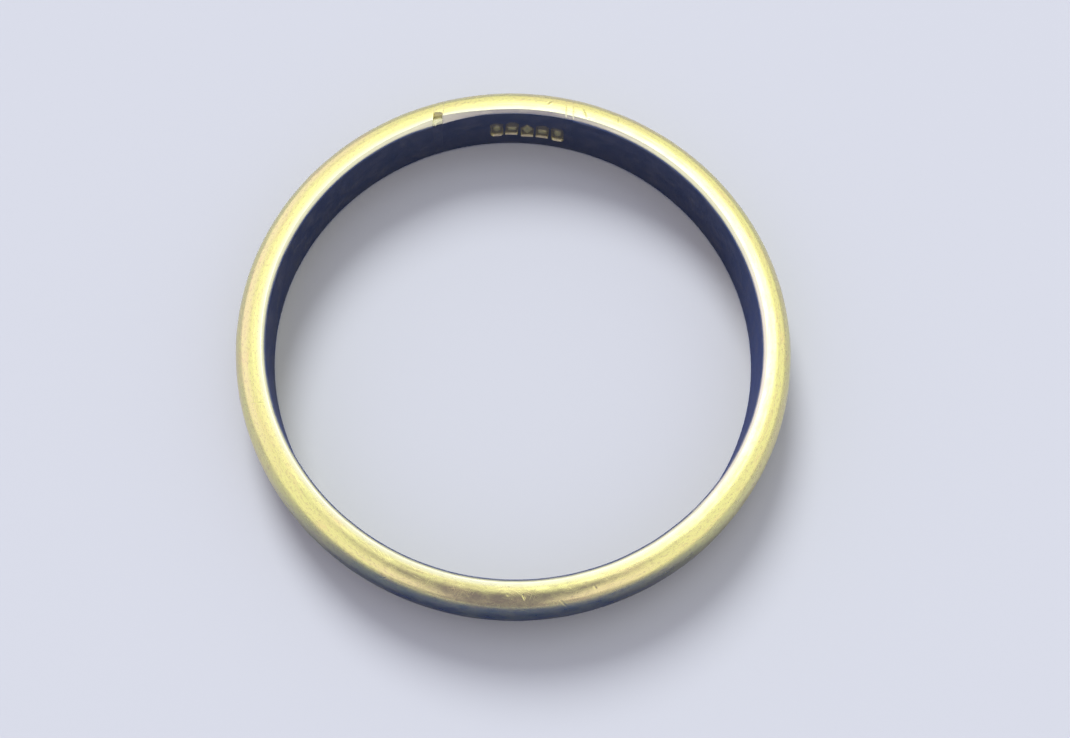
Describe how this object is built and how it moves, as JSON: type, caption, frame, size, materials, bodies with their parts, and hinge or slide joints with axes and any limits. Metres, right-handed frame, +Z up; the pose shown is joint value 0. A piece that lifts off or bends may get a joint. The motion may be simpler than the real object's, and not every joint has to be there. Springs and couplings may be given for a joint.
{
  "type": "wedding band",
  "caption": "Narrow half-round gold wedding band, resized: long shank, short hallmarked section and solder seams.",
  "frame": {"origin": "on the finger hole's axis, in the plane of the lower side that the band rests on", "axes": "+Z up along the finger hole's axis, +Y to the middle of the hallmark, +X to the right of the hallmark as it is read from the middle of the hole"},
  "size_m": [0.0194, 0.0194, 0.0024],
  "materials": {
    "yellow_gold": "gloss",
    "gold_solder": "satin"
  },
  "bodies": {
    "root": {"shank": "yellow_gold", "hallmarked_section": "yellow_gold", "solder_seam_left": "gold_solder", "solder_seam_right": "gold_solder"}
  },
  "joints": []
}
